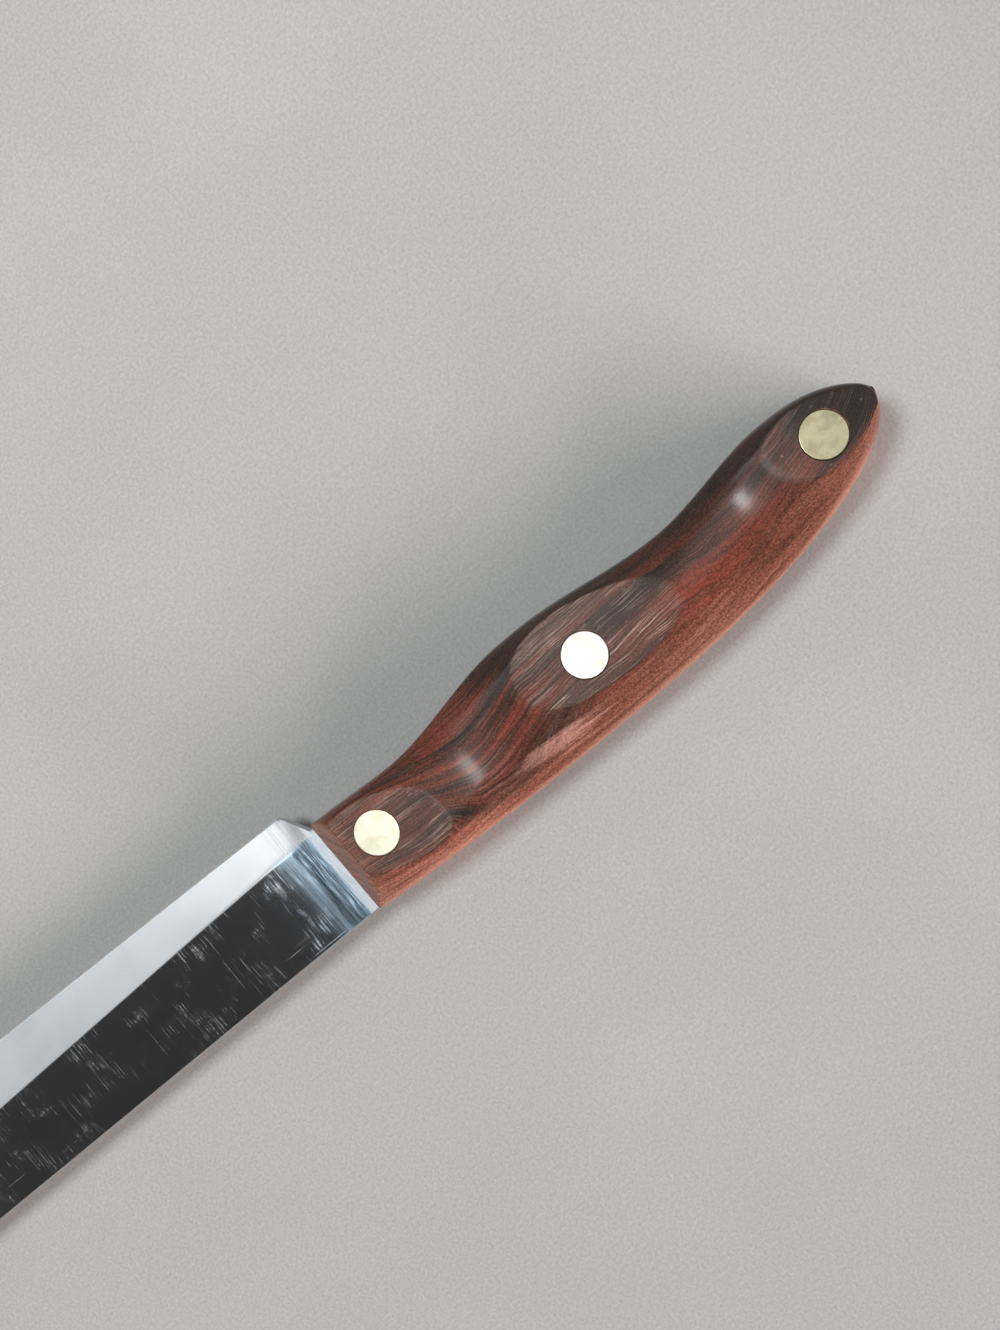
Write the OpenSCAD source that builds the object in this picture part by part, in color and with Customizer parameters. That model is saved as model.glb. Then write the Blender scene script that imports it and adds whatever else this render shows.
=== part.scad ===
// Full-tang butcher knife: a ground steel plate, two sculpted scales and three two-piece rivets.
// Millimetres. The knife lies on its left pads: X runs to the tip, Y to the spine, Z up.
// The origin is on the middle rivet's axis, in the plane of the left pads.

/* [Blade] */
// Length of the blade, from the handle to the tip
blade_l = 210; // [170:1:260]
// Thickness of the plate at the tang and the root strip
stock_t = 2.4; // [2.2:0.1:3.2]
// Thickness of the ground flats at the handle
root_t = 2.1; // [1.6:0.1:2.4]
// Thickness of the ground flats at the tip
tip_t = 1.1; // [0.9:0.1:1.6]
// Width of the unground strip beside the handle
root_strip = 2; // [1:0.25:3]
// Length over which the grind runs out of the strip
plunge_l = 5; // [1:0.25:8]
// Height of the spine above the middle rivet
spine_y = 12.1; // [10:0.1:12.4]
// Depth of the blade's underside where it leaves the handle
root_y = 7.4; // [5:0.1:8]
// Depth of the cutting edge at the heel
heel_y = 13.5; // [11:0.1:18]
// Distance from the handle to the top of the heel's slope
heel_back = 1; // [0.5:0.1:3]
// Length of the heel's slope along the blade
heel_run = 3.4; // [2:0.1:8]
// Rounding of the heel corner
heel_r = 1.4; // [0.4:0.1:2.5]
// How much deeper the edge lies where its sweep begins
edge_fall = 3.9; // [0:0.1:8]
// Distance from the handle to the start of the edge's sweep
sweep_x = 130; // [90:1:150]
// Distance from the handle to where the spine starts to turn up
turn_x = 135; // [90:1:150]
// How far the tip turns up above the spine
tip_rise = 3.5; // [0:0.5:8]
// Height of the main bevel at the heel
bevel_h = 6.5; // [4:0.1:9]
// Extra height of the main bevel where the sweep begins
bevel_gain = 6.8; // [0:0.1:10]
// Thickness behind the honed edge
edge_t = 0.5; // [0.3:0.05:0.8]
// Height of the honed edge
hone_h = 0.4; // [0.2:0.1:1.5]
// Thickness left at the cutting edge
keen_t = 0.08; // [0.04:0.01:0.2]
// Break of the spine's corners
spine_break = 0.25; // [0.1:0.05:0.5]
// Height left at the point
point_h = 0.5; // [0.3:0.1:1]

/* [Handle] */
// Length of the handle
handle_l = 129; // [122:1:150]
// Thickness of the handle over its flat pads
pad_t = 16; // [13:0.5:20]
// Height of the handle's back at the blade
front_top = 12.4; // [12.4:0.1:15]
// Height of the handle's back at its highest
crest_top = 14.3; // [13:0.1:18]
// Distance from the blade to the highest part of the back
crest_s = 57; // [40:1:75]
// Depth of the belly at the blade
front_low = 8.3; // [8:0.1:11]
// Depth of the belly at the forefinger notch
notch_low = 7.3; // [6:0.1:9]
// Distance from the blade to the forefinger notch
notch_s = 19.5; // [16:0.5:28]
// Depth of the belly at the palm swell
swell_low = 11.4; // [9:0.1:15]
// Distance from the blade to the palm swell
swell_s = 51.5; // [44:0.5:60]
// Length of the palm swell's level stretch
swell_w = 4; // [0.5:0.5:8]
// Depth of the belly at the little finger
waist_low = 8.1; // [6:0.1:10]
// Distance from the butt to the little finger's waist
waist_s = 44; // [38:1:54]
// Depth of the belly at the pommel
pommel_low = 11.2; // [9:0.1:14]
// Distance from the butt to the pommel's deepest point
pommel_s = 19; // [16:1:26]
// Depth of the butt's point below the middle rivet
point_low = 3.5; // [1:0.1:5]
// Width of the butt's blunt end
butt_w = 1; // [0.6:0.1:3]
// How far the crowned blank would stand above the front and rear pads
crown_rise = 2; // [1:0.1:3]
// How far the crowned blank would stand above the middle pad
palm_rise = 1.7; // [1:0.1:3]
// Depth of the two scoops below the pads
scoop_depth = 1.5; // [0.5:0.1:2.5]
// Distance from the blade to the bottom of the front scoop
front_scoop_s = 34; // [28:1:38]
// Distance from the butt to the bottom of the rear scoop
rear_scoop_s = 31.5; // [26:0.5:36]
// Distance from the butt to the top of the rear pad
rear_crest_s = 10; // [8:0.5:18]
// How far the crowned blank would stand above the pads at the blade
front_rise = 0.3; // [0:0.1:1]
// Length of the slope ground on the scales beside the blade
nose_l = 4.3; // [3:0.1:5.5]
// Height of the scales over the tang at the foot of that slope
nose_h = 0.9; // [0.5:0.1:2]
// Fall of the scales at the butt
butt_drop = 0.8; // [0.2:0.1:5]
// Length over which the scales fall at the butt
butt_run = 1.2; // [0.8:0.1:6]

/* [Rivets] */
// Distance from the blade to the front rivet
front_rivet_s = 10.9; // [9:0.1:14]
// Height of the front rivet above the middle one
front_rivet_y = 0.6; // [-1:0.1:2]
// Distance from the blade to the middle rivet
middle_rivet_s = 61.4; // [52:0.1:70]
// Distance from the butt to the rear rivet
rear_rivet_s = 11.4; // [11:0.1:18]
// Depth of the rear rivet below the middle one
rear_rivet_low = 2.7; // [1:0.1:4]
// Diameter of the rivet heads
head_d = 8.7; // [7:0.1:10]
// Thickness of the rivet heads
head_t = 2.2; // [1.5:0.1:3]
// Break of the heads' outer corners
head_break = 0.15; // [0.05:0.05:0.4]
// Outer diameter of the tubular shank
tube_d = 5.5; // [5:0.1:6.5]
// Diameter of the solid post pressed into the tube
post_d = 3.6; // [2.5:0.1:4]
// Gap around a head in its counterbore
head_gap = 0.05; // [0.02:0.01:0.15]
// Gap around a tube in the scales and the tang
tube_gap = 0.1; // [0.05:0.01:0.2]
// Gap around a post in its tube
post_gap = 0.02; // [0.01:0.005:0.05]
// Gap left at the end of a tube and of a post
end_gap = 0.4; // [0.2:0.1:0.8]

/* [Hidden] */
$fn = 64;
mid_z = pad_t / 2;
half_stock = stock_t / 2;
tip_y = spine_y + tip_rise;
edge_run = sweep_x - heel_back - heel_run;
rivets = [
    [0, front_rivet_s, front_rivet_y],
    [1, middle_rivet_s, 0],
    [2, handle_l - rear_rivet_s, -rear_rivet_low],
];
// depth of the belly and height of the side's crown along the handle, from the blade to the butt
belly_knots = [
    [0, -front_low],
    [notch_s, -notch_low],
    [swell_s - swell_w / 2, -swell_low],
    [swell_s + swell_w / 2, -swell_low],
    [handle_l - waist_s, -waist_low],
    [handle_l - pommel_s, -pommel_low],
];
crown_knots = [
    [0, mid_z + front_rise],
    [front_rivet_s, mid_z + crown_rise],
    [front_scoop_s, mid_z - scoop_depth],
    [middle_rivet_s + 1.5, mid_z + palm_rise],
    [handle_l - rear_scoop_s, mid_z - scoop_depth],
    [handle_l - rear_crest_s, mid_z + crown_rise],
    [handle_l - butt_run, mid_z + crown_rise / 2],
    [handle_l, mid_z - butt_drop],
];
// place of the crown's ridge between belly (0) and back (1): it climbs beside the forefinger scoop
ridge_knots = [
    [0, 0.25],
    [front_rivet_s - 4, 0.34],
    [notch_s + 2, 0.68],
    [middle_rivet_s, 0.3],
    [handle_l - waist_s, 0.5],
    [handle_l - pommel_s - 3, 0.29],
    [handle_l, 0.5],
];
// roundness of the sides: 2 is an ellipse, and more is squarer
back_round = 2;
belly_round = 3.2;
side_steps = 22;

function ramp(t) = let (u = max(0, min(1, t))) u * u * (3 - 2 * u);
function mix(a, b, t) = a + (b - a) * t;
function soft_max(a, b, r) = let (h = max(0, r - abs(a - b)) / r) max(a, b) + h * h * r / 4;

// smooth run through knots [distance, value], level at each knot
function along(k, s, i = 0) =
    i >= len(k) - 2 || s <= k[i + 1][0]
        ? mix(k[i][1], k[i + 1][1], ramp((s - k[i][0]) / (k[i + 1][0] - k[i][0])))
        : along(k, s, i + 1);

// closed solid through rings of equal length
function ring_faces(n, m) = concat(
    [[for (j = [0 : m - 1]) j]],
    [for (i = [0 : n - 2]) for (j = [0 : m - 1]) let (k = (j + 1) % m)
        [i * m + j, (i + 1) * m + j, (i + 1) * m + k]],
    [for (i = [0 : n - 2]) for (j = [0 : m - 1]) let (k = (j + 1) % m)
        [i * m + j, (i + 1) * m + k, i * m + k]],
    [[for (j = [m - 1 : -1 : 0]) (n - 1) * m + j]]
);
module loft(rings) {
    n = len(rings);
    m = len(rings[0]);
    polyhedron(points = [for (r = rings) each r], faces = ring_faces(n, m));
}

// handle outline, by the distance s behind the blade
function back_y(s) =
    s < crest_s
        ? crest_top - (crest_top - front_top) * pow(1 - s / crest_s, 2)
        : butt_y(butt_w / 2) + (crest_top - butt_y(butt_w / 2))
            * pow(1 - pow((s - crest_s) / (handle_l - crest_s), 2.25), 0.465);
function belly_y(s) =
    s < handle_l - pommel_s
        ? along(belly_knots, s)
        : butt_y(-butt_w / 2) - (pommel_low + butt_y(-butt_w / 2))
            * pow(1 - pow((s - handle_l + pommel_s) / pommel_s, 2.4), 0.72);
function butt_y(up) = -point_low + up;

// stations along the handle, closer together at both ends
front_zone = notch_s + 4;
rear_zone = rear_scoop_s - 4;
stations = concat(
    [for (i = [0 : 13]) front_zone * i / 14],
    [for (i = [0 : 27]) mix(front_zone, handle_l - rear_zone, i / 28)],
    [for (i = [0 : 26]) handle_l - rear_zone * pow(1 - i / 26, 1.5)]
);

// half section of one scale at s, from the back round to the belly
function scale_ring(s) =
    let (
        top = back_y(s),
        low = belly_y(s),
        ridge = mix(low, top, along(ridge_knots, s)),
        rise = along(crown_knots, s) - half_stock
    )
    [for (j = [0 : side_steps])
        let (
            a = 180 * j / side_steps,
            back = j * 2 < side_steps,
            e = 2 / (back ? back_round : belly_round),
            reach = pow(abs(cos(a)), e),
            up = pow(max(0, sin(a)), e)
        )
        [-s, mix(ridge, back ? top : low, reach), half_stock + (j == side_steps ? 0 : rise * up)]];

// blade outline, by the distance x in front of the handle
function edge_line(x) = -heel_y - edge_fall * (x - heel_back - heel_run) / edge_run;
function sweep(x) = max(0, (x - sweep_x) / (blade_l - sweep_x));
function edge_y(x) =
    mix(edge_line(x), tip_y - point_h, 1 - pow(max(0, 1 - pow(sweep(x), 2.2)), 0.7));
function top_y(x) = spine_y + tip_rise * pow(max(0, (x - turn_x) / (blade_l - turn_x)), 2);
function heel_line(x) = -root_y - max(0, x - heel_back) * (heel_y - root_y) / heel_run;
function low_y(x) = soft_max(edge_y(x), heel_line(x), heel_r);

// blade section at x: flats with a straight taper, main bevel and honed edge
function ground(x) = ramp((x - root_strip) / plunge_l);
function flat_t(x) = mix(root_t, tip_t, x / blade_l);
function bevel(x) = bevel_h + bevel_gain * max(0, min(1, (x - heel_back - heel_run) / edge_run));
function half_t(x, y) =
    let (
        climb = (flat_t(x) - edge_t) / 2 / (bevel(x) - hone_h),
        wedge = edge_t / 2 + (y - edge_y(x) - hone_h) * climb
    )
    mix(half_stock, max(keen_t / 2, min(flat_t(x) / 2, wedge)), ground(x));
function blade_side(x) =
    let (
        top = top_y(x),
        low = low_y(x),
        tall = top - low,
        brk = min(spine_break, tall / 6),
        shoulder = low + max(min(edge_y(x) + bevel(x) - low, 0.8 * tall), 0.08 * tall),
        hone = low + min(hone_h, (shoulder - low) / 2),
        keen = max(0, min(1, (low - edge_y(x)) / hone_h)),
        z_top = half_t(x, top)
    )
    [
        [top, z_top - brk],
        [top - brk, z_top],
        [shoulder, half_t(x, shoulder)],
        [hone, half_t(x, hone)],
        [low, mix(keen_t / 2, half_t(x, low), keen)],
    ];
function blade_ring(x) =
    let (side = blade_side(x), n = len(side))
    concat(
        [for (p = side) [x, p[0], p[1]]],
        [for (i = [n - 1 : -1 : 0]) [x, side[i][0], -side[i][1]]]
    );
heel_zone = heel_back + heel_run + 4;
blade_stations = concat(
    [for (i = [0 : 19]) heel_zone * i / 20],
    [for (i = [0 : 9]) mix(heel_zone, sweep_x, i / 10)],
    [for (i = [0 : 24]) mix(sweep_x, blade_l, 1 - pow(1 - i / 24, 1.6))]
);

// puts pieces drawn from the handle's front face, about the middle plane, into the part's frame
module placed() {
    translate([middle_rivet_s, 0, mid_z])
        children();
}

module at_rivet(i) {
    translate([-rivets[i][1], rivets[i][2], 0])
        children();
}

module tang_plate() {
    n = len(stations) - 1;
    translate([0, 0, -half_stock])
        linear_extrude(stock_t)
            polygon(concat(
                [for (i = [0 : n]) [-stations[i], back_y(stations[i])]],
                [for (i = [n : -1 : 0]) [-stations[i], belly_y(stations[i])]]
            ));
}

module blade() {
    color("silver")
        placed()
            difference() {
                union() {
                    tang_plate();
                    loft([for (x = blade_stations) blade_ring(x)]);
                }
                for (i = [0 : 2])
                    at_rivet(i)
                        cylinder(h = stock_t + 2, d = tube_d + 2 * tube_gap, center = true);
            }
}

// side view of what grinding leaves of a scale: the pads' plane, and the slope down to the blade
module ground_side() {
    foot = half_stock + nose_h;
    slope = (mid_z - foot) / nose_l;
    past = 0.3;
    polygon([
        [-handle_l - 1, 0],
        [-handle_l - 1, mid_z],
        [-nose_l, mid_z],
        [past, foot - slope * past],
        [past, 0],
    ]);
}

// scale on the +Z side, with its pads cut flat and its rivet seats bored
module scale_blank() {
    difference() {
        intersection() {
            // from the butt to the blade, so that the faces look outwards
            loft([for (i = [len(stations) - 1 : -1 : 0]) scale_ring(stations[i])]);
            rotate([90, 0, 0])
                linear_extrude(2 * (crest_top + swell_low), center = true)
                    ground_side();
        }
        for (i = [0 : 2])
            at_rivet(i) {
                cylinder(h = pad_t, d = tube_d + 2 * tube_gap);
                translate([0, 0, mid_z - head_t])
                    cylinder(h = head_t + 5, d = head_d + 2 * head_gap);
            }
    }
}

module right_scale() {
    color("sienna")
        placed()
            scale_blank();
}

module left_scale() {
    color("saddlebrown")
        placed()
            mirror([0, 0, 1])
                scale_blank();
}

// rivet halves stand on z = 0 with the head outwards, turned about their axis
male_l = pad_t - head_t - end_gap;
female_l = pad_t - head_t - end_gap;

module male_half() {
    rotate_extrude()
        polygon([
            [0, mid_z],
            [head_d / 2 - head_break, mid_z],
            [head_d / 2, mid_z - head_break],
            [head_d / 2, mid_z - head_t],
            [post_d / 2, mid_z - head_t],
            [post_d / 2, mid_z - male_l + head_break],
            [post_d / 2 - head_break, mid_z - male_l],
            [0, mid_z - male_l],
        ]);
}

module female_half() {
    bore = post_d / 2 + post_gap;
    rotate_extrude()
        polygon([
            [0, mid_z],
            [head_d / 2 - head_break, mid_z],
            [head_d / 2, mid_z - head_break],
            [head_d / 2, mid_z - head_t],
            [tube_d / 2, mid_z - head_t],
            [tube_d / 2, mid_z - female_l],
            [bore, mid_z - female_l],
            [bore, mid_z - head_t],
            [0, mid_z - head_t],
        ]);
}

module rivet_male(i) {
    color("gainsboro")
        placed()
            at_rivet(i)
                male_half();
}

module rivet_female(i) {
    color("lightgray")
        placed()
            at_rivet(i)
                mirror([0, 0, 1])
                    female_half();
}

blade();
right_scale();
left_scale();
rivet_male(0);  // front_rivet_male
rivet_female(0);  // front_rivet_female
rivet_male(1);  // middle_rivet_male
rivet_female(1);  // middle_rivet_female
rivet_male(2);  // rear_rivet_male
rivet_female(2);  // rear_rivet_female
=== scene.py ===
"""Butcher knife: the looks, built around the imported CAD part.

Shapes are worked out in millimetres, in the part's own frame: +X to the tip, +Y to the spine, +Z up.
"""
import math

import bmesh
import bpy
import numpy as np
from mathutils import Matrix, Vector


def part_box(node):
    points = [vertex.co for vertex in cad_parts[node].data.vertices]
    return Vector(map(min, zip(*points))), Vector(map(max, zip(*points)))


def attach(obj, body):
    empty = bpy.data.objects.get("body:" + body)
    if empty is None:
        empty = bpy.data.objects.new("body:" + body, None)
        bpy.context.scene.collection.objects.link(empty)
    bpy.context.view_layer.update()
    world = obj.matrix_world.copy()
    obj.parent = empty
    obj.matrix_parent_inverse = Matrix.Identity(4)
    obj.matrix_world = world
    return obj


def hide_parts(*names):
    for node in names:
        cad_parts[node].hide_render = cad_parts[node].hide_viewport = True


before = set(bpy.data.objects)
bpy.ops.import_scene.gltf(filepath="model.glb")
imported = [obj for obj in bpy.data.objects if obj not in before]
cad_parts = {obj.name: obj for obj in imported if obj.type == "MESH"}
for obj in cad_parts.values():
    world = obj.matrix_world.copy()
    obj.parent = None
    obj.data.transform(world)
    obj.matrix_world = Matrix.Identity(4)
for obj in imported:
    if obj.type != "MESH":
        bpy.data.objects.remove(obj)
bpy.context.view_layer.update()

MM = 0.001


def box_mm(node):
    """Lowest and highest corner of a CAD node, in millimetres."""
    return [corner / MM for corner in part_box(node)]


# Sizes that the frame gives
scale_low, scale_high = box_mm("right_scale")
HANDLE_FRONT = scale_high.x
HANDLE_L = scale_high.x - scale_low.x
PAD_Z = scale_high.z
MID_Z = PAD_Z / 2
HALF_STOCK = scale_low.z - MID_Z
BLADE_L = box_mm("blade")[1].x - HANDLE_FRONT
RIVETS = {}
for place in ("front", "middle", "rear"):
    low, high = box_mm(f"{place}_rivet_male")
    RIVETS[place] = ((low.x + high.x) / 2, (low.y + high.y) / 2)
HEAD_R = (high.x - low.x) / 2
FRONT_RIVET_S = HANDLE_FRONT - RIVETS["front"][0]
MIDDLE_RIVET_S = HANDLE_FRONT - RIVETS["middle"][0]

# Handle outline, by the distance s behind the blade
FRONT_TOP = 12.4
CREST_TOP = 14.3
CREST_S = 57
FRONT_LOW = 8.3
NOTCH_S = 19.5
NOTCH_LOW = 7.3
SWELL_S = 51.5
SWELL_LOW = 11.4
SWELL_W = 4
WAIST_S = HANDLE_L - 44
WAIST_LOW = 8.1
POMMEL_S = HANDLE_L - 19
POMMEL_LOW = 11.2
POINT_LOW = 3.5
BUTT_W = 1
# exponents of the back's and the belly's curve to the butt
BACK_BEND = 2.25
BACK_CLOSE = 0.465
POMMEL_BEND = 2.4
POMMEL_CLOSE = 0.72

# Sides of the scales, by height over the middle plane
CROWN_RISE = 2
PALM_RISE = 1.7
PALM_S = MIDDLE_RIVET_S + 1.5
SCOOP_DEPTH = 1.5
FRONT_SCOOP_S = 34
REAR_SCOOP_S = HANDLE_L - 31.5
POMMEL_CREST_S = HANDLE_L - 10
FRONT_RISE = 0.3
BUTT_DROP = 0.8
BUTT_RUN = 1.2
NOSE_L = 4.3
NOSE_H = 0.9
CROWN = [
    (0, MID_Z + FRONT_RISE),
    (FRONT_RIVET_S, MID_Z + CROWN_RISE),
    (FRONT_SCOOP_S, MID_Z - SCOOP_DEPTH),
    (PALM_S, MID_Z + PALM_RISE),
    (REAR_SCOOP_S, MID_Z - SCOOP_DEPTH),
    (POMMEL_CREST_S, MID_Z + CROWN_RISE),
    (HANDLE_L - BUTT_RUN, MID_Z + CROWN_RISE / 2),
    (HANDLE_L, MID_Z - BUTT_DROP),
]
# height of the crown's ridge, as a share of the way from belly to back
RIDGE = [
    (0, 0.25),
    (FRONT_RIVET_S - 4, 0.34),
    (NOTCH_S + 2, 0.68),
    (MIDDLE_RIVET_S, 0.3),
    (WAIST_S, 0.5),
    (POMMEL_S - 3, 0.29),
    (HANDLE_L, 0.5),
]
# softness of the pads' rims: the rear pad rolls over into its scoop, and the others are crisp
CRISP = 0.07
ROLLED = 0.3
PAD_SOFT = [(0, CRISP), (97, CRISP), (104, ROLLED), (110, ROLLED), (115, CRISP), (HANDLE_L, CRISP)]
NOSE_SOFT = 0.4
BACK_ROUND = 2
BELLY_ROUND = 3.2
FRONT_BREAK = 0.25
# stations along the handle and points across a scale
SCALE_STEP = 0.36
SCALE_TURNS = 110
TANG_STEP = 1
BUTT_TURN_L = 14
BUTT_STATIONS = 22
BUTT_CLOSER = 1.7

# Rivets
HEAD_T = 2.2
HEAD_BREAK = 0.15
HEAD_FLAT_RIM = 0.05
HEAD_GAP = 0.05
HOLE_BREAK = 0.12
TUBE_R = 2.75
TUBE_GAP = 0.1
POST_R = 1.8
POST_GAP = 0.02
END_GAP = 0.4
CUT_CLEAR = 1
ROUND_STEPS = 96
BREAK_STEPS = 6

# Blade, by the distance x in front of the handle
SPINE_Y = 12.1
ROOT_Y = 7.4
HEEL_Y = 13.5
HEEL_BACK = 1
HEEL_RUN = 3.4
HEEL_R = 1.4
EDGE_FALL = 3.9
SWEEP_X = 130
SWEEP_BEND = 2.2
SWEEP_CLOSE = 0.7
TURN_X = 135
TIP_RISE = 3.5
POINT_H = 0.5
TIP_Y = SPINE_Y + TIP_RISE
EDGE_X = HEEL_BACK + HEEL_RUN
EDGE_RUN = SWEEP_X - HEEL_BACK - HEEL_RUN
ROOT_STRIP = 2
PLUNGE_L = 5
ROOT_T = 2.1
TIP_T = 1.1
EDGE_T = 0.5
BEVEL_H = 6.5
BEVEL_GAIN = 6.8
HONE_H = 0.4
HONE_ROUND = 0.12
KEEN_T = 0.08
SPINE_BREAK = 0.25
# limits of the bevel's height towards the point, as shares of the blade's height
BEVEL_MOST = 0.8
BEVEL_LEAST = 0.08
# half width over which the grind line is rounded, from the heel forwards, and its limit beside other rows
GRIND_SOFT = [(0, 1.5), (14, 0.5), (40, 0.22), (BLADE_L, 0.15)]
GRIND_SHARE = 0.35
# rows beside the grind line, in half widths, and stations from the heel to the tip
GRIND_ROWS = (1.4, 1, 0.66, 0.33, 0, -0.33, -0.66, -1, -1.4)
HEEL_ZONE_L = 5
HEEL_STATIONS = 60
EDGE_STATIONS = 100
TIP_STATIONS = 120
TIP_CLOSER = 1.6

WELD_M = 1e-7
SHARP_DEG = 28


# Curves and sections
def ramp(t):
    u = np.clip(t, 0, 1)
    return u * u * (3 - 2 * u)


def mix(a, b, t):
    return a + (b - a) * t


def soft_max(a, b, r):
    h = np.maximum(0, r - np.abs(a - b)) / r
    return np.maximum(a, b) + h * h * r / 4


def soft_min(a, b, r):
    return -soft_max(-a, -b, r)


def along(knots, s):
    """Smooth run through (distance, value) knots, level at each knot."""
    at, value = np.array(knots, float).T
    i = np.clip(np.searchsorted(at, s) - 1, 0, len(at) - 2)
    return mix(value[i], value[i + 1], ramp((s - at[i]) / (at[i + 1] - at[i])))


def back_y(s):
    end = -POINT_LOW + BUTT_W / 2
    front = CREST_TOP - (CREST_TOP - FRONT_TOP) * (1 - s / CREST_S) ** 2
    u = np.clip((s - CREST_S) / (HANDLE_L - CREST_S), 0, 1)
    return np.where(s < CREST_S, front, end + (CREST_TOP - end) * (1 - u**BACK_BEND) ** BACK_CLOSE)


def belly_y(s):
    end = -POINT_LOW - BUTT_W / 2
    knots = [
        (0, -FRONT_LOW),
        (NOTCH_S, -NOTCH_LOW),
        (SWELL_S - SWELL_W / 2, -SWELL_LOW),
        (SWELL_S + SWELL_W / 2, -SWELL_LOW),
        (WAIST_S, -WAIST_LOW),
        (POMMEL_S, -POMMEL_LOW),
    ]
    u = np.clip((s - POMMEL_S) / (HANDLE_L - POMMEL_S), 0, 1)
    rear = end - (POMMEL_LOW + end) * (1 - u**POMMEL_BEND) ** POMMEL_CLOSE
    return np.where(s < POMMEL_S, along(knots, s), rear)


def handle_stations(step):
    """Distances behind the blade, closer together where the butt turns round."""
    turn_s = HANDLE_L - BUTT_TURN_L
    even = np.arange(0, turn_s, step)
    count = int(BUTT_STATIONS / step)
    tail = HANDLE_L - (HANDLE_L - turn_s) * np.linspace(1, 0, count) ** BUTT_CLOSER
    return np.concatenate([even, tail])


def scale_rings(side):
    """Sections of one scale from the blade to the butt; side is 1 for the right, -1 for the left."""
    s = np.concatenate([[0], FRONT_BREAK + handle_stations(SCALE_STEP)[1:]])
    s = np.minimum(s, HANDLE_L)
    inset = FRONT_BREAK * np.clip(1 - s / FRONT_BREAK, 0, 1)
    top, low = back_y(s) - inset, belly_y(s) + inset
    ridge = mix(low, top, along(RIDGE, s))
    rise = along(CROWN, s) - HALF_STOCK - inset
    turn = np.linspace(0, math.pi, SCALE_TURNS)
    power = np.where(turn < math.pi / 2, BACK_ROUND, BELLY_ROUND)
    reach, up = np.cos(turn), np.maximum(0, np.sin(turn))
    size = (np.abs(reach) ** power + up**power) ** (-1 / power)
    reach, up = reach * size, up * size
    half = np.where(reach > 0, (top - ridge)[:, None], (ridge - low)[:, None])
    y = ridge[:, None] + half * reach
    z = HALF_STOCK + rise[:, None] * up
    z = soft_min(z, MID_Z, along(PAD_SOFT, s)[:, None])
    nose = HALF_STOCK + NOSE_H + s * (MID_Z - HALF_STOCK - NOSE_H) / NOSE_L
    z = soft_min(z, nose[:, None], NOSE_SOFT)
    z[:, [0, -1]] = HALF_STOCK
    x = np.broadcast_to((HANDLE_FRONT - s)[:, None], y.shape)
    return np.stack([x, y, MID_Z + side * z], axis=-1)


def edge_y(x):
    line = -HEEL_Y - EDGE_FALL * (x - HEEL_BACK - HEEL_RUN) / EDGE_RUN
    u = np.clip((x - SWEEP_X) / (BLADE_L - SWEEP_X), 0, 1)
    return mix(line, TIP_Y - POINT_H, 1 - (1 - u**SWEEP_BEND) ** SWEEP_CLOSE)


def top_y(x):
    return SPINE_Y + TIP_RISE * np.maximum(0, (x - TURN_X) / (BLADE_L - TURN_X)) ** 2


def low_y(x):
    heel = -ROOT_Y - np.maximum(0, x - HEEL_BACK) * (HEEL_Y - ROOT_Y) / HEEL_RUN
    return soft_max(edge_y(x), heel, HEEL_R)


def blade_sections(x):
    """Heights y and half thicknesses z of the blade's rows at each x, from spine to edge."""
    top, low, edge = top_y(x), low_y(x), edge_y(x)
    tall = top - low
    brk = np.minimum(SPINE_BREAK, tall / 6)
    flat = mix(ROOT_T, TIP_T, x / BLADE_L) / 2
    bevel = BEVEL_H + BEVEL_GAIN * np.clip((x - HEEL_BACK - HEEL_RUN) / EDGE_RUN, 0, 1)
    climb = (flat - EDGE_T / 2) / (bevel - HONE_H)
    shoulder = low + np.maximum(np.minimum(edge + bevel - low, BEVEL_MOST * tall), BEVEL_LEAST * tall)
    hone = low + np.minimum(HONE_H, (shoulder - low) / 2)
    soft = np.minimum.reduce([along(GRIND_SOFT, x), GRIND_SHARE * (shoulder - hone),
                              GRIND_SHARE * (top - brk - shoulder)])
    guard = np.minimum(HONE_ROUND, (hone - low) / 4)

    def half_t(y):
        wedge = EDGE_T / 2 + (y - edge - HONE_H) * climb
        ground = np.maximum(KEEN_T / 2, soft_min(flat, wedge, np.maximum(soft * climb, 1e-6)))
        return mix(HALF_STOCK, ground, ramp((x - ROOT_STRIP) / PLUNGE_L))

    under_break = top - 1.3 * brk
    over_grind = shoulder + GRIND_ROWS[0] * soft
    under_grind = shoulder + GRIND_ROWS[-1] * soft
    rows = [top - brk, under_break]
    rows += [mix(under_break, over_grind, t) for t in (0.25, 0.5, 0.75)]
    rows += [shoulder + soft * t for t in GRIND_ROWS]
    rows += [mix(under_grind, hone + guard, t) for t in (0.33, 0.66, 1)]
    rows += [hone, hone - guard]
    keen = np.clip((low - edge) / HONE_H, 0, 1)
    heights = [top] + rows + [low]
    halves = [half_t(top) - brk] + [half_t(y) for y in rows]
    halves += [mix(KEEN_T / 2, half_t(low), keen)]
    return np.stack(heights, axis=1), np.stack(halves, axis=1)


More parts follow.
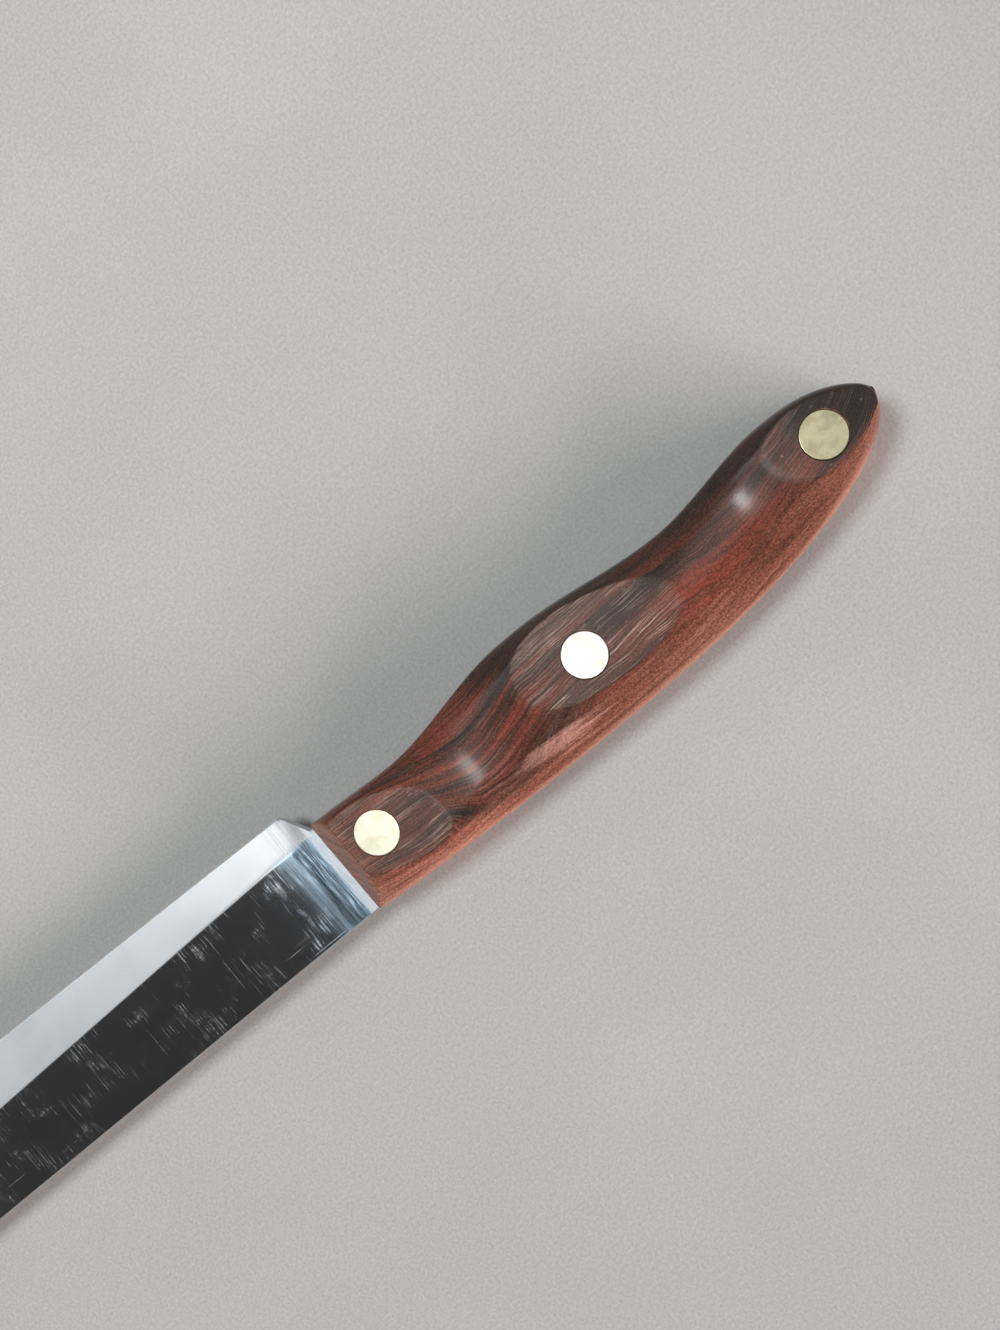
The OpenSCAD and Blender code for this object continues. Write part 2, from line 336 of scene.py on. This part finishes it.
def blade_rings():
    """Sections of tang and blade from the butt to the tip; the tang takes the rows of the blade's first."""
    heel_zone = HEEL_BACK + HEEL_RUN + HEEL_ZONE_L
    x = np.concatenate([
        np.linspace(0, heel_zone, HEEL_STATIONS, endpoint=False),
        np.linspace(heel_zone, SWEEP_X, EDGE_STATIONS, endpoint=False),
        mix(SWEEP_X, BLADE_L, 1 - np.linspace(1, 0, TIP_STATIONS) ** TIP_CLOSER),
    ])
    y, z = blade_sections(x)
    s = handle_stations(TANG_STEP)[:0:-1]
    rows = (y[0] - y[0, 0]) / (y[0, -1] - y[0, 0])
    tang_y = mix(back_y(s)[:, None], belly_y(s)[:, None], rows)
    y = np.concatenate([tang_y, y])
    z = np.concatenate([np.full_like(tang_y, HALF_STOCK), z])
    x = HANDLE_FRONT + np.concatenate([-s, x])
    y = np.concatenate([y, y[:, ::-1]], axis=1)
    z = MID_Z + np.concatenate([z, -z[:, ::-1]], axis=1)
    return np.stack([np.broadcast_to(x[:, None], y.shape), y, z], axis=-1)


# Meshes
def mesh_object(name, points, faces):
    """New object from points in millimetres, with its faces turned outwards."""
    mesh = bpy.data.meshes.new(name)
    mesh.from_pydata((np.asarray(points) * MM).tolist(), [], faces)
    shape = bmesh.new()
    shape.from_mesh(mesh)
    bmesh.ops.remove_doubles(shape, verts=shape.verts, dist=WELD_M)
    bmesh.ops.recalc_face_normals(shape, faces=shape.faces)
    shape.to_mesh(mesh)
    shape.free()
    piece = bpy.data.objects.new(name, mesh)
    bpy.context.scene.collection.objects.link(piece)
    return piece


def loft(name, rings):
    """Closed mesh through rings of equal length."""
    n, m, _ = rings.shape
    here = np.arange(n * m).reshape(n, m)
    beside = np.roll(here, -1, axis=1)
    quads = np.stack([here[:-1], beside[:-1], beside[1:], here[1:]], axis=-1)
    faces = quads.reshape(-1, 4).tolist() + [here[0].tolist(), here[-1].tolist()]
    return mesh_object(name, rings.reshape(-1, 3), faces)


def lathe(name, profile, centres, side):
    """Profile of (radius, height over the middle plane), turned about each centre."""
    radius, height = np.array(profile, float).T
    angle = np.linspace(0, 2 * math.pi, ROUND_STEPS, endpoint=False)[:, None]
    n, m = ROUND_STEPS, len(profile)
    here = np.arange(n * m).reshape(n, m)
    beside = np.roll(here, -1, axis=0)
    quads = np.stack([here[:, :-1], here[:, 1:], beside[:, 1:], beside[:, :-1]], axis=-1)
    points, faces = [], []
    for i, (x, y) in enumerate(centres):
        z = np.broadcast_to(MID_Z + side * height, (n, m))
        ring = np.stack([x + radius * np.cos(angle), y + radius * np.sin(angle), z], axis=-1)
        points.append(ring.reshape(-1, 3))
        faces += (quads.reshape(-1, 4) + i * n * m).tolist()
    return mesh_object(name, np.concatenate(points), faces)


def cut(piece, cutter):
    """Takes the cutter out of the piece, and removes the cutter."""
    step = piece.modifiers.new("cut", "BOOLEAN")
    step.object = cutter
    step.operation = "DIFFERENCE"
    step.solver = "EXACT"
    graph = bpy.context.evaluated_depsgraph_get()
    mesh = bpy.data.meshes.new_from_object(piece.evaluated_get(graph))
    piece.modifiers.clear()
    piece.data = mesh
    bpy.data.objects.remove(cutter)


def dress(piece, node, material):
    """Shades the piece, paints it and puts it in the CAD node's place."""
    piece.data.shade_smooth()
    piece.data.set_sharp_from_angle(angle=math.radians(SHARP_DEG))
    piece.data.materials.clear()
    piece.data.materials.append(material)
    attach(piece, "root")
    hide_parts(node)


# Shader nodes
class Nodes:
    """Short calls that add nodes to a new material and give back their outputs."""

    def __init__(self, name):
        self.material = bpy.data.materials.new(name)
        self.material.use_nodes = True
        self.tree = self.material.node_tree
        self.tree.nodes.clear()
        place = self.add("ShaderNodeTexCoord").outputs["Object"]
        scaled = self.add("ShaderNodeVectorMath", {0: place, "Scale": 1 / MM}, operation="SCALE")
        parts = self.add("ShaderNodeSeparateXYZ", {0: scaled.outputs[0]})
        self.x, self.y, self.z = parts.outputs
        facing = self.add("ShaderNodeNewGeometry").outputs["Normal"]
        self.facing_tip, self.facing_spine, _ = self.add("ShaderNodeSeparateXYZ", {0: facing}).outputs

    def set(self, socket, value):
        """Links an output to the socket, or writes a number or colour into it."""
        if isinstance(value, bpy.types.NodeSocket):
            self.tree.links.new(value, socket)
        else:
            socket.default_value = (*value, 1) if isinstance(value, tuple) else value

    def add(self, kind, inputs=None, **settings):
        node = self.tree.nodes.new(kind)
        for key, value in settings.items():
            setattr(node, key, value)
        for key, value in (inputs or {}).items():
            self.set(node.inputs[key], value)
        return node

    def math(self, operation, a, b=0.0, c=0.0):
        return self.add("ShaderNodeMath", {0: a, 1: b, 2: c}, operation=operation).outputs[0]

    def times(self, a, b):
        return self.math("MULTIPLY", a, b)

    def plus(self, a, b):
        return self.math("ADD", a, b)

    def minus(self, a, b):
        return self.math("SUBTRACT", a, b)

    def sum(self, first, *others):
        for other in others:
            first = self.plus(first, other)
        return first

    def vector(self, x=0.0, y=0.0, z=0.0):
        return self.add("ShaderNodeCombineXYZ", {0: x, 1: y, 2: z}).outputs[0]

    def noise(self, x=0.0, y=0.0, z=0.0, detail=2.0, roughness=0.5):
        """Noise from about 0 to 1 over the given coordinates, in which a grain is about 1 long."""
        node = self.add("ShaderNodeTexNoise", {
            "Vector": self.vector(x, y, z), "Scale": 1.0, "Detail": detail, "Roughness": roughness})
        return node.outputs[0]

    def share(self, value, low, high):
        """Straight line from 0 at low to 1 at high, held level outside them."""
        node = self.add("ShaderNodeMapRange", {"Value": value, "From Min": low, "From Max": high})
        return node.outputs[0]

    def fade(self, value, low, high, to_low=0.0, to_high=1.0):
        """Smooth step from to_low at low to to_high at high."""
        node = self.add("ShaderNodeMapRange", {
            "Value": value, "From Min": low, "From Max": high, "To Min": to_low, "To Max": to_high},
            interpolation_type="SMOOTHSTEP")
        return node.outputs[0]

    def between(self, value, start, full, fall, stop):
        """Smooth rise from start to full, and smooth fall from fall to stop."""
        return self.times(self.fade(value, start, full), self.fade(value, stop, fall))

    def ramp(self, value, stops):
        node = self.add("ShaderNodeValToRGB", {0: value})
        keys = node.color_ramp.elements
        while len(keys) < len(stops):
            keys.new(0.5)
        for key, (at, colour) in zip(keys, stops):
            key.position = at
            key.color = (*colour, 1)
        return node.outputs[0]

    def blend(self, factor, a, b, how="MIX"):
        node = self.add("ShaderNodeMix", data_type="RGBA", blend_type=how)
        for socket, value in ((node.inputs[0], factor), (node.inputs[6], a), (node.inputs[7], b)):
            self.set(socket, value)
        return node.outputs[2]

    def toned(self, colour, factor):
        """The colour times a grey factor."""
        return self.blend(1.0, colour, self.vector(factor, factor, factor), "MULTIPLY")

    def bump(self, height, distance, strength):
        return self.add("ShaderNodeBump", {
            "Height": height, "Distance": distance, "Strength": strength}).outputs[0]

    def surface(self, **inputs):
        """Principled surface; an input's name has spaces where the keyword has underscores."""
        named = {key.replace("_", " "): value for key, value in inputs.items()}
        shader = self.add("ShaderNodeBsdfPrincipled", named)
        self.add("ShaderNodeOutputMaterial", {"Surface": shader.outputs[0]})
        return self.material


def back_line(n):
    """Height of the handle's back at each x, as in back_y."""
    s = n.minus(HANDLE_FRONT, n.x)
    end = -POINT_LOW + BUTT_W / 2
    u = n.share(s, CREST_S, HANDLE_L)
    fall = n.math("POWER", n.minus(1.0, n.math("POWER", u, BACK_BEND)), BACK_CLOSE)
    ahead = n.minus(1.0, n.math("DIVIDE", n.math("MINIMUM", s, CREST_S), CREST_S))
    droop = n.times(n.math("POWER", ahead, 2.0), FRONT_TOP - CREST_TOP)
    return n.sum(n.times(fall, CREST_TOP - end), end, droop)


def near_pads(n, start, full):
    """From 0 at the depth start under the pads of both sides to 1 at the depth full."""
    return n.plus(n.fade(n.z, PAD_Z - start, PAD_Z - full), n.fade(n.z, start, full))


def marbled_resin():
    """Brown resin in thin tilted layers, which the moulded hollows cut into flowing lines.

    Limits of x, y and z are places in millimetres, and other limits are levels of a noise or of the
    normal. The last number of a noise's place only tells the noises apart.
    """
    dark = (0.032, 0.024, 0.019)
    red = (0.265, 0.058, 0.038)
    pale_tone = (0.52, 0.36, 0.295)
    pad_tone = (0.095, 0.069, 0.055)
    low_pad_tone = (0.21, 0.150, 0.120)
    rim_light_tone = (0.56, 0.225, 0.140)
    tongue_highlight_tone = (0.56, 0.28, 0.225)
    ahead_lit_tone = (0.38, 0.180, 0.120)
    nose_lit_tone = (0.58, 0.260, 0.175)
    belly_shade_tone = (0.050, 0.030, 0.022)
    scuff_tone = (0.34, 0.30, 0.26)
    tongue_x, tongue_y = 13.0, 9.5
    tongue_half_l, tongue_half_w = 10.0, 2.4
    grain_depth = 0.00002

    # Layers, and noises along them
    n = Nodes("marbled_resin")
    depth = n.math("ABSOLUTE", n.minus(n.z, MID_Z))
    lift = n.math("SMOOTH_MAX", depth, 5.6, 1.6)
    side = n.times(n.z, 0.3)
    slow = n.noise(n.times(n.x, 0.022), n.times(n.y, 0.03), side)
    quick = n.noise(n.times(n.x, 0.06), n.times(n.y, 0.10), side, detail=3.0)
    line = back_line(n)
    palm = n.fade(n.x, -30.0, -5.0)
    arch = n.times(n.minus(lift, MID_Z), n.fade(palm, 0.0, 1.0, 0.9, 2.1))
    layer = n.sum(n.y, arch, n.times(line, -0.8), n.times(slow, 4.0), n.times(quick, 2.8))
    bands = n.noise(n.times(layer, 0.42), n.times(n.x, 0.02), 1.0, detail=4.0, roughness=0.6)
    lines = n.noise(n.times(layer, 2.4), n.times(n.x, 0.03), 7.0, detail=3.0, roughness=0.6)
    hairs = n.noise(n.times(layer, 5.5), n.times(n.x, 0.06), 13.0, detail=3.0, roughness=0.65)
    cloud = n.noise(n.times(n.x, 0.06), n.times(layer, 0.14), 21.0, detail=3.0)
    patches = n.noise(n.times(n.x, 0.10), n.times(layer, 0.30), 51.0, detail=3.0, roughness=0.6)
    below = n.minus(line, n.y)
    round_back = n.plus(n.times(below, 0.8), n.times(depth, 0.7))
    streaks = n.noise(n.times(n.x, 0.035), round_back, 31.0, detail=5.0, roughness=0.7)
    speck = n.noise(n.times(n.x, 2.2), n.times(n.y, 4.0), n.times(n.z, 4.0), detail=2.0)
    scuffs = n.noise(n.times(n.x, 0.45), n.times(n.y, 0.8), 41.0, detail=4.0, roughness=0.7)

    # Zones of the handle
    pad = near_pads(n, 0.06, 0.01)
    worn_ends = n.math("MAXIMUM", n.fade(n.x, 19.0, 7.0), n.fade(n.x, 36.0, 41.0, 0.0, 0.65))
    worn_pad = n.times(pad, worn_ends)
    wander = n.fade(cloud, 0.3, 0.7, -0.09, 0.09)
    hollow = n.between(n.x, 12.0, 24.0, 36.0, 46.0)
    # The back: surfaces that face the spine take the plainer brown, partly the resin's own colour and
    # partly painted light from the spine side.
    back = n.fade(n.sum(n.facing_spine, wander, n.times(hollow, -0.12)), 0.04, 0.48)
    reach = n.minus(n.sum(below, n.times(wander, 12.0)), n.fade(n.x, -30.0, 25.0, 8.5, 4.6))
    back = n.times(back, n.fade(reach, 1.6, -1.2, 0.12, 1.0))
    # Painted rim light: a pale orange edge on surfaces that face the spine side squarely.
    rim = n.fade(n.facing_spine, 0.72, 0.93, 0.0, 0.6)
    # Painted shade: surfaces that face the belly, away from the light, are darkened, from the front scoop
    # back to the butt.
    belly_shade = n.times(n.fade(n.facing_spine, -0.10, -0.40), n.fade(n.x, 30.0, 8.0))
    # Painted light: the nose's face towards the tip is painted lighter.
    nose = n.times(n.fade(n.facing_tip, 0.20, 0.50), n.fade(streaks, 0.35, 0.62, 0.25, 0.75))
    # Painted light: the handle's front end, ahead of the front pad, is painted lighter.
    ahead = n.fade(n.x, 54.0, 58.5)
    low_front = n.times(n.fade(n.x, 16.0, 26.0), n.fade(n.y, 2.0, -5.0))
    high_front = n.times(hollow, n.fade(n.y, 1.0, 5.0))
    rear_hollow = n.times(n.between(n.x, -47.0, -40.0, -26.0, -18.0), n.fade(n.y, -6.0, 0.0, -0.6, 1.0))
    butt = n.fade(n.x, -50.0, -60.0)
    butt_low = n.times(butt, n.fade(n.y, 5.0, -4.0, 0.35, 1.0))
    low_pad = n.fade(n.y, -2.0, -8.0)
    calm = n.times(n.fade(palm, 0.0, 1.0, 0.5, 1.0), n.fade(cloud, 0.38, 0.58, 0.5, 1.0))
    # Painted highlight: a soft pinkish tongue of sheen on the back, between the front scoop and the middle
    # pad.
    across = n.math("DIVIDE", n.minus(n.y, tongue_y), tongue_half_w)
    lengthwise = n.math("DIVIDE", n.minus(n.x, tongue_x), tongue_half_l)
    away = n.plus(n.times(across, across), n.times(lengthwise, lengthwise))
    away = n.plus(away, n.fade(streaks, 0.35, 0.65, 0.6, -0.5))
    tongue = n.times(n.fade(away, 1.3, -0.3), n.fade(hairs, 0.3, 0.65, 0.45, 0.8))

    # Colour: bands, lines, worn pads and hairs, then the plainer back, partly painted light, with a painted
    # rim light and a painted highlight, the front end in painted light and the belly in painted shade, then
    # wear and grain
    tone = n.sum(bands, n.times(n.y, 0.004), n.times(cloud, 0.34), n.times(speck, 0.20),
                 n.times(belly_shade, -0.08), n.times(butt_low, -0.36), n.times(low_front, 0.09),
                 n.times(high_front, -0.05), n.times(rear_hollow, 0.05), -0.31)
    colour = n.ramp(tone, [
        (0.30, dark),
        (0.42, (0.080, 0.034, 0.023)),
        (0.52, (0.150, 0.047, 0.031)),
        (0.63, (0.250, 0.056, 0.036)),
        (0.74, (0.200, 0.072, 0.048)),
    ])
    colour = n.blend(n.times(n.fade(lines, 0.50, 0.36, 0.0, 0.75), calm), colour, dark)
    colour = n.blend(n.times(n.fade(lines, 0.56, 0.70, 0.0, 0.6), calm), colour, red)
    pad_grey = n.times(n.times(worn_pad, palm), 0.35)
    colour = n.blend(pad_grey, colour, pad_tone)
    colour = n.blend(n.times(pad_grey, n.times(low_pad, 0.8)), colour, low_pad_tone)
    colour = n.blend(n.times(n.fade(hairs, 0.47, 0.36, 0.0, 0.75), calm), colour, dark)
    pale = n.times(n.fade(patches, 0.42, 0.56, 0.25, 1.0), n.fade(worn_pad, 0.0, 1.0, 0.20, 1.0))
    pale = n.times(pale, n.fade(n.plus(hairs, n.times(low_pad, 0.025)), 0.52, 0.62))
    pale = n.times(pale, n.fade(butt, 0.0, 1.0, 1.0, 0.25))
    colour = n.blend(n.times(pale, calm), colour, pale_tone)
    brown = n.ramp(n.plus(n.times(streaks, 0.7), n.times(speck, 0.3)), [
        (0.36, (0.13, 0.047, 0.030)),
        (0.49, (0.28, 0.092, 0.056)),
        (0.62, (0.44, 0.185, 0.125)),
    ])
    # Painted light and shade: the back's brown is painted lighter towards the blade and darker towards the
    # butt.
    brown = n.toned(brown, n.fade(n.x, -5.0, 40.0, 0.72, 1.02))
    colour = n.blend(n.times(back, 0.85), colour, brown)
    colour = n.blend(rim, colour, rim_light_tone)
    colour = n.blend(tongue, colour, tongue_highlight_tone)
    colour = n.blend(n.times(ahead, 0.36), colour, ahead_lit_tone)
    colour = n.blend(nose, colour, nose_lit_tone)
    colour = n.blend(n.times(belly_shade, 0.55), colour, belly_shade_tone)
    colour = n.blend(n.times(pad, n.fade(scuffs, 0.60, 0.70, 0.0, 0.35)), colour, scuff_tone)
    colour = n.toned(colour, n.fade(speck, 0.3, 0.7, 0.72, 1.26))

    # Shine: the ground pads are duller than the moulded hollows, and the middle pad is the dullest
    rough = n.plus(n.times(hairs, 0.06), n.fade(near_pads(n, 0.4, 0.05), 0.0, 1.0, 0.17, 0.30))
    middle_pad = n.times(pad, n.between(n.x, -30.0, -22.0, 24.0, 34.0))
    gloss = n.times(n.fade(middle_pad, 0.0, 1.0, 1.0, 0.35), n.fade(n.x, 0.0, 20.0, 0.40, 0.26))
    gloss = n.times(gloss, n.fade(butt_low, 0.0, 1.0, 1.0, 0.4))
    gloss = n.times(gloss, n.fade(n.facing_spine, -0.85, -0.35, 0.3, 1.0))
    grain = n.bump(n.plus(n.times(hairs, 0.6), lines), grain_depth, 0.3)
    return n.surface(Base_Color=colour, Roughness=rough, Specular_IOR_Level=gloss, Normal=grain)


def polished_steel():
    """Polished stainless: scratched flats, a satin root with a painted bluish reflection, satin bevels and
    a matt honed edge with a painted highlight.
    """
    blue_reflection_tone = (0.60, 0.82, 1.0)
    strip_tone = (0.63, 0.685, 0.73)
    honed_highlight_tone = (0.90, 0.90, 0.88)
    scratch_depth = 0.000005
    n = Nodes("polished_steel")
    ahead = n.minus(n.x, HANDLE_FRONT)
    share = n.share(ahead, EDGE_X, SWEEP_X)
    over_edge = n.minus(n.y, n.plus(n.times(share, -EDGE_FALL), -HEEL_Y))
    over_bevel = n.minus(over_edge, n.plus(n.times(share, BEVEL_GAIN), BEVEL_H))
    flat = n.fade(over_bevel, -0.3, 0.5)
    honed = n.fade(over_edge, HONE_H + 0.1, HONE_H - 0.1)

    across = n.noise(n.times(n.x, 3.2), n.times(n.y, 0.14), n.times(n.z, 0.2), detail=5.0, roughness=0.65)
    upright = n.noise(n.times(n.x, 5.0), n.times(n.y, 0.08), 2.0, detail=2.0)
    level = n.noise(n.times(n.x, 0.06), n.times(n.y, 4.0), 4.0, detail=2.0)
    fine = n.noise(n.times(n.x, 4.0), n.times(n.y, 1.6), 15.0, detail=5.0, roughness=0.75)
    patch = n.noise(n.times(n.x, 0.13), n.times(n.y, 0.16), 9.0, detail=4.0, roughness=0.6)
    gaps = n.noise(n.times(n.x, 0.40), n.times(n.y, 0.05), 17.0)
    tone = n.noise(n.times(n.x, 0.08), n.times(n.y, 0.1), 3.0, detail=3.0)

    worn = n.times(n.fade(patch, 0.49, 0.66), n.fade(across, 0.46, 0.64))
    cuts = n.times(n.fade(upright, 0.64, 0.72), n.fade(patch, 0.36, 0.52))
    drawn = n.times(n.fade(level, 0.66, 0.74), n.fade(n.y, 4.0, 8.0))
    scratch = n.math("MAXIMUM", n.math("MAXIMUM", worn, cuts), drawn)
    scratch = n.times(scratch, n.times(flat, n.fade(fine, 0.36, 0.56, 0.3, 1.0)))
    root = n.times(n.fade(ahead, 12.0, 1.5), n.fade(across, 0.40, 0.60, 0.4, 1.0))
    root = n.times(root, n.fade(gaps, 0.42, 0.56, 0.5, 1.0))
    strip = n.fade(ahead, ROOT_STRIP + 0.4, ROOT_STRIP - 0.2)
    rough = n.sum(n.times(scratch, 0.26), n.times(root, 0.28), n.times(strip, 0.08), n.times(fine, 0.05),
                  n.times(honed, 0.35), n.fade(flat, 0.0, 1.0, 0.18, 0.05))
    colour = n.ramp(tone, [(0.3, (0.60, 0.61, 0.62)), (0.7, (0.68, 0.69, 0.70))])
    # Painted reflection: a bluish tint on the flats near the root.
    blue_reflection = n.times(n.fade(ahead, 20.0, 3.0, 0.0, 0.95), flat)
    colour = n.blend(blue_reflection, colour, blue_reflection_tone)
    colour = n.blend(strip, colour, strip_tone)
    # The honed edge is matt; its pale tone is a painted highlight.
    colour = n.blend(honed, colour, honed_highlight_tone)
    normal = n.bump(n.times(n.plus(across, n.times(upright, 0.5)), flat), scratch_depth, 0.3)
    return n.surface(Base_Color=colour, Metallic=1.0, Roughness=rough, Normal=normal)


def nickel_silver(name, colour, dull, roughness):
    """Rivet metal between two tones, with grinding marks."""
    mark_depth = 0.000006
    n = Nodes(name)
    marks = n.noise(n.times(n.x, 9.0), n.times(n.y, 0.6), n.times(n.z, 0.5), detail=4.0, roughness=0.7)
    spots = n.noise(n.times(n.x, 0.35), n.times(n.y, 0.35), 2.0, detail=4.0, roughness=0.6)
    grains = n.noise(n.times(n.x, 3.0), n.times(n.y, 3.0), 6.0, detail=5.0, roughness=0.8)
    tone = n.blend(n.fade(spots, 0.4, 0.65), colour, dull)
    tone = n.blend(n.fade(grains, 0.45, 0.70, 0.0, 0.4), tone, dull)
    rough = n.plus(n.times(marks, 0.12), roughness - 0.06)
    normal = n.bump(marks, mark_depth, 0.3)
    return n.surface(Base_Color=tone, Metallic=1.0, Roughness=rough, Normal=normal)


def floor_paper():
    """Pale warm grey table paper with a faint tooth."""
    tooth_depth = 0.0002
    n = Nodes("floor_paper")
    tooth = n.noise(n.times(n.x, 1.6), n.times(n.y, 1.6), 1.0, detail=4.0, roughness=0.7)
    cloud = n.noise(n.times(n.x, 0.02), n.times(n.y, 0.02), 4.0, detail=3.0)
    tone = n.plus(n.times(tooth, 0.8), n.times(cloud, 0.2))
    colour = n.ramp(tone, [(0.3, (0.44, 0.430, 0.408)), (0.7, (0.64, 0.625, 0.593))])
    return n.surface(Base_Color=colour, Roughness=0.9, Normal=n.bump(tooth, tooth_depth, 0.4))


# Pieces
def scale(name, side, material):
    """One scale with its three stepped seats for the rivets."""
    hole = HEAD_R + HEAD_GAP
    bore = TUBE_R + TUBE_GAP
    step = MID_Z - HEAD_T
    outside = MID_Z + CUT_CLEAR
    seat = [(0, 0), (bore, 0), (bore, step), (hole, step), (hole, MID_Z - HOLE_BREAK),
            (hole + HOLE_BREAK + CUT_CLEAR, outside), (0, outside)]
    piece = loft(name + "_sculpted", scale_rings(side))
    cut(piece, lathe(name + "_seats", seat, RIVETS.values(), side))
    dress(piece, name, material)


def blade(material):
    """Blade and tang, with the tang's three bores."""
    piece = loft("blade_ground", blade_rings())
    bore = TUBE_R + TUBE_GAP
    outside = HALF_STOCK + CUT_CLEAR
    through = [(0, -outside), (bore, -outside), (bore, outside), (0, outside)]
    cut(piece, lathe("tang_bores", through, RIVETS.values(), 1))
    dress(piece, "blade", material)


def rivet(place, material):
    """Both halves of one rivet: a post in a tube, each with a head ground flush with its pad."""
    turn = [(math.sin(a), math.cos(a)) for a in np.linspace(0, math.pi / 2, BREAK_STEPS)]
    rim = [(HEAD_R - HEAD_BREAK + HEAD_BREAK * x, MID_Z - HEAD_BREAK + HEAD_BREAK * z) for x, z in turn]
    flat_r = HEAD_R - HEAD_BREAK - HEAD_FLAT_RIM
    under = MID_Z - HEAD_T
    head = [(0, MID_Z), (flat_r, MID_Z)] + rim + [(HEAD_R, under)]
    end = -(under - END_GAP)
    bore = POST_R + POST_GAP
    male = head + [(POST_R, under), (POST_R, end + HEAD_BREAK), (POST_R - HEAD_BREAK, end), (0, end)]
    female = head + [(TUBE_R, under), (TUBE_R, end), (bore, end), (bore, under), (0, under)]
    for half, profile, side in (("male", male, 1), ("female", female, -1)):
        node = f"{place}_rivet_{half}"
        dress(lathe(node + "_turned", profile, [RIVETS[place]], side), node, material)


resin = marbled_resin()
scale("right_scale", 1, resin)
scale("left_scale", -1, resin)
blade(polished_steel())
# One metal in three tones: the front rivet's cream is painted brighter, the middle one keeps a plain tone,
# and the rear one's darker yellow is partly tarnish and partly painted shade.
rivet("front", nickel_silver(
    "nickel_silver_cream_painted_bright", colour=(0.94, 0.91, 0.715), dull=(0.80, 0.77, 0.58), roughness=0.22))
rivet("middle", nickel_silver(
    "nickel_silver_bright", colour=(0.70, 0.69, 0.64), dull=(0.50, 0.49, 0.43), roughness=0.38))
rivet("rear", nickel_silver(
    "nickel_silver_tarnished_painted_shade", colour=(0.55, 0.505, 0.325), dull=(0.42, 0.38, 0.24), roughness=0.24))


# Stage, in metres
FLOOR_SIZE = 6
HORIZON = (0.32, 0.33, 0.34, 1)
HORIZON_END = 0.52
OVERHEAD = (0.044, 0.042, 0.042, 1)
OVERHEAD_START = 0.82


def add_floor():
    bpy.ops.mesh.primitive_plane_add(size=FLOOR_SIZE)
    floor = bpy.context.object
    floor.name = "floor"
    floor.data.materials.append(floor_paper())


def softbox(name, at, size, watts, colour, aim=None, turn_deg=0, shape="RECTANGLE", mirrored=False):
    """Area lamp facing aim, or else straight down; it lights surfaces, or else is only mirrored in them."""
    lamp = bpy.data.lights.new(name, "AREA")
    lamp.shape = shape
    lamp.size, lamp.size_y = size
    lamp.energy = watts
    lamp.color = colour
    holder = bpy.data.objects.new(name, lamp)
    bpy.context.scene.collection.objects.link(holder)
    holder.location = at
    aim = aim or (at[0], at[1], 0)
    face = (Vector(aim) - Vector(at)).to_track_quat("-Z", "Y").to_matrix()
    holder.rotation_euler = (face @ Matrix.Rotation(math.radians(turn_deg), 3, "Z")).to_euler()
    holder.visible_camera = False
    holder.visible_diffuse = not mirrored
    holder.visible_glossy = mirrored


def world_light():
    """Pale round the horizon and dark overhead, as in a room lit by its lamps."""
    world = bpy.data.worlds.new("room")
    bpy.context.scene.world = world
    world.use_nodes = True
    tree = world.node_tree
    tree.nodes.clear()
    place = tree.nodes.new("ShaderNodeTexCoord")
    split = tree.nodes.new("ShaderNodeSeparateXYZ")
    shade = tree.nodes.new("ShaderNodeValToRGB")
    keys = shade.color_ramp.elements
    keys[0].position, keys[0].color = HORIZON_END, HORIZON
    keys[1].position, keys[1].color = OVERHEAD_START, OVERHEAD
    light = tree.nodes.new("ShaderNodeBackground")
    out = tree.nodes.new("ShaderNodeOutputWorld")
    tree.links.new(place.outputs["Generated"], split.inputs[0])
    tree.links.new(split.outputs[2], shade.inputs[0])
    tree.links.new(shade.outputs[0], light.inputs["Color"])
    tree.links.new(light.outputs[0], out.inputs["Surface"])


def add_camera():
    """Camera of the photograph, over the handle and leaning towards the blade."""
    at = Vector((-31.13, -8.36, 281.49)) * MM
    aim = Vector((14.15, -8.36, 8.0)) * MM
    photo_up = math.radians(229.45)
    focal_px = 1500
    photo_h_px = 1330
    lens = bpy.data.cameras.new("camera")
    lens.sensor_fit = "VERTICAL"
    lens.sensor_height = 36
    lens.lens = lens.sensor_height * focal_px / photo_h_px
    lens.clip_start = 0.01
    camera = bpy.data.objects.new("camera", lens)
    bpy.context.scene.collection.objects.link(camera)
    back = (at - aim).normalized()
    right = Vector((math.cos(photo_up), math.sin(photo_up), 0)).cross(back).normalized()
    up = back.cross(right)
    camera.matrix_world = Matrix.Translation(at) @ Matrix((right, up, back)).transposed().to_4x4()
    bpy.context.scene.camera = camera


add_floor()
world_light()
softbox("key", at=(0.135, -0.342, 0.90), size=(0.225, 0.270), watts=5.05, colour=(0.89, 0.96, 1.0))
softbox("beside_spine", at=(-1.96, 1.68, 0.92), size=(2.4, 0.80), watts=101, colour=(1, 0.88, 0.86),
        aim=(0, 0, 0))
softbox("overhead", at=(0.072, -0.010, 0.90), size=(0.625, 0.40), watts=0.84, colour=(0.96, 0.98, 1.0),
        turn_deg=18.7, mirrored=True)
softbox("spot", at=(0.104, 0.012, 0.88), size=(0.12, 0.12), watts=0.90, colour=(1, 0.98, 0.95),
        shape="ELLIPSE", mirrored=True)
softbox("beside_edge", at=(0.85, -0.255, 0.98), size=(1.1, 0.39), watts=1.03, colour=(0.93, 0.97, 1.0),
        mirrored=True)
softbox("beside_corner", at=(1.08, -0.15, 0.93), size=(0.40, 0.14), watts=0.24, colour=(0.95, 0.98, 1.0),
        mirrored=True)
softbox("beside_heel", at=(0.585, -0.367, 0.95), size=(0.63, 0.246), watts=0.74, colour=(0.93, 0.98, 1.0),
        mirrored=True)
add_camera()
bpy.context.scene.view_settings.view_transform = "Standard"
